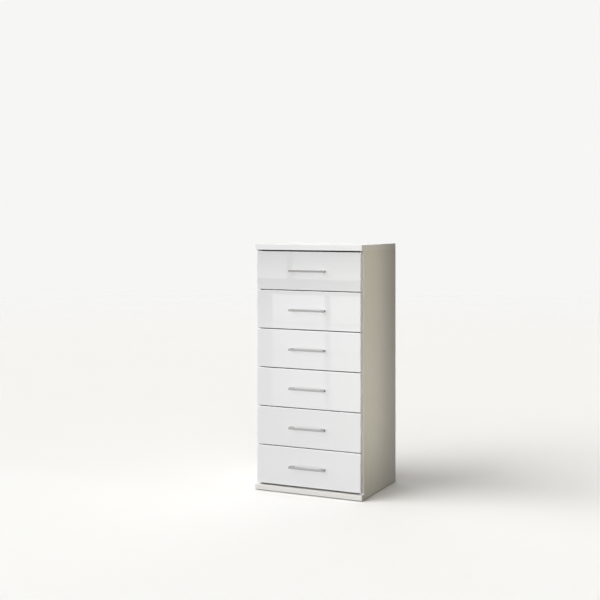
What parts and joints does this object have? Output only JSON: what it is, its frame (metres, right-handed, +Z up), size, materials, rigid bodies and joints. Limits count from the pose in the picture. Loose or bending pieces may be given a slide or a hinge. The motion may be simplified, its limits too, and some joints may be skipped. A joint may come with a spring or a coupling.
{
  "type": "tall chest of drawers",
  "caption": "Tall narrow white chest of equal full-width drawers with gloss fronts, slim metal bridge handles and a slab top and base that stand slightly forward.",
  "frame": {"origin": "on the floor under the glides, in the middle of the overall box, handles included", "axes": "+Z up, +Y towards the back panel, +X to the right seen from the front; the drawers open towards -Y"},
  "size_m": [0.45, 0.377, 0.96],
  "materials": {
    "gloss_white_front": "high-gloss white lacquer film on board",
    "white_melamine_board": "semi-matt white melamine on chipboard",
    "white_drawer_board": "matt white foil on chipboard",
    "white_hardboard": "white lacquered hardboard",
    "satin_metal_handle": "satin, fine brushed",
    "zinc_plated_fitting": "bright zinc plated",
    "beech_dowel": "plain",
    "runner_plastic": "matt moulded",
    "glide_plastic": "matt moulded"
  },
  "bodies": {
    "root": {"top_panel": "white_melamine_board", "base_panel": "white_melamine_board", "left_side_panel": "white_melamine_board", "right_side_panel": "white_melamine_board", "back_panel": "white_hardboard", "middle_rail": "white_melamine_board", "carcass_dowels": "beech_dowel", "cam_fittings": "zinc_plated_fitting", "floor_glides": "glide_plastic", "left_runner_strips": "runner_plastic", "right_runner_strips": "runner_plastic", "runner_screws": "zinc_plated_fitting"},
    "drawer_1": {"drawer_1_front": "gloss_white_front", "drawer_1_left_side": "white_drawer_board", "drawer_1_right_side": "white_drawer_board", "drawer_1_back": "white_drawer_board", "drawer_1_bottom": "white_hardboard", "drawer_1_handle": "satin_metal_handle", "drawer_1_screws": "zinc_plated_fitting", "drawer_1_dowels": "beech_dowel"},
    "drawer_2": {"drawer_2_front": "gloss_white_front", "drawer_2_left_side": "white_drawer_board", "drawer_2_right_side": "white_drawer_board", "drawer_2_back": "white_drawer_board", "drawer_2_bottom": "white_hardboard", "drawer_2_handle": "satin_metal_handle", "drawer_2_screws": "zinc_plated_fitting", "drawer_2_dowels": "beech_dowel"},
    "drawer_3": {"drawer_3_front": "gloss_white_front", "drawer_3_left_side": "white_drawer_board", "drawer_3_right_side": "white_drawer_board", "drawer_3_back": "white_drawer_board", "drawer_3_bottom": "white_hardboard", "drawer_3_handle": "satin_metal_handle", "drawer_3_screws": "zinc_plated_fitting", "drawer_3_dowels": "beech_dowel"},
    "drawer_4": {"drawer_4_front": "gloss_white_front", "drawer_4_left_side": "white_drawer_board", "drawer_4_right_side": "white_drawer_board", "drawer_4_back": "white_drawer_board", "drawer_4_bottom": "white_hardboard", "drawer_4_handle": "satin_metal_handle", "drawer_4_screws": "zinc_plated_fitting", "drawer_4_dowels": "beech_dowel"},
    "drawer_5": {"drawer_5_front": "gloss_white_front", "drawer_5_left_side": "white_drawer_board", "drawer_5_right_side": "white_drawer_board", "drawer_5_back": "white_drawer_board", "drawer_5_bottom": "white_hardboard", "drawer_5_handle": "satin_metal_handle", "drawer_5_screws": "zinc_plated_fitting", "drawer_5_dowels": "beech_dowel"},
    "drawer_6": {"drawer_6_front": "gloss_white_front", "drawer_6_left_side": "white_drawer_board", "drawer_6_right_side": "white_drawer_board", "drawer_6_back": "white_drawer_board", "drawer_6_bottom": "white_hardboard", "drawer_6_handle": "satin_metal_handle", "drawer_6_screws": "zinc_plated_fitting", "drawer_6_dowels": "beech_dowel"}
  },
  "joints": [
    {"name": "drawer_1_slide", "type": "slide", "parent": "root", "child": "drawer_1", "axis": [0, -1, 0], "range_m": [0, 0.22]},
    {"name": "drawer_2_slide", "type": "slide", "parent": "root", "child": "drawer_2", "axis": [0, -1, 0], "range_m": [0, 0.22]},
    {"name": "drawer_3_slide", "type": "slide", "parent": "root", "child": "drawer_3", "axis": [0, -1, 0], "range_m": [0, 0.22]},
    {"name": "drawer_4_slide", "type": "slide", "parent": "root", "child": "drawer_4", "axis": [0, -1, 0], "range_m": [0, 0.22]},
    {"name": "drawer_5_slide", "type": "slide", "parent": "root", "child": "drawer_5", "axis": [0, -1, 0], "range_m": [0, 0.22]},
    {"name": "drawer_6_slide", "type": "slide", "parent": "root", "child": "drawer_6", "axis": [0, -1, 0], "range_m": [0, 0.22]}
  ]
}
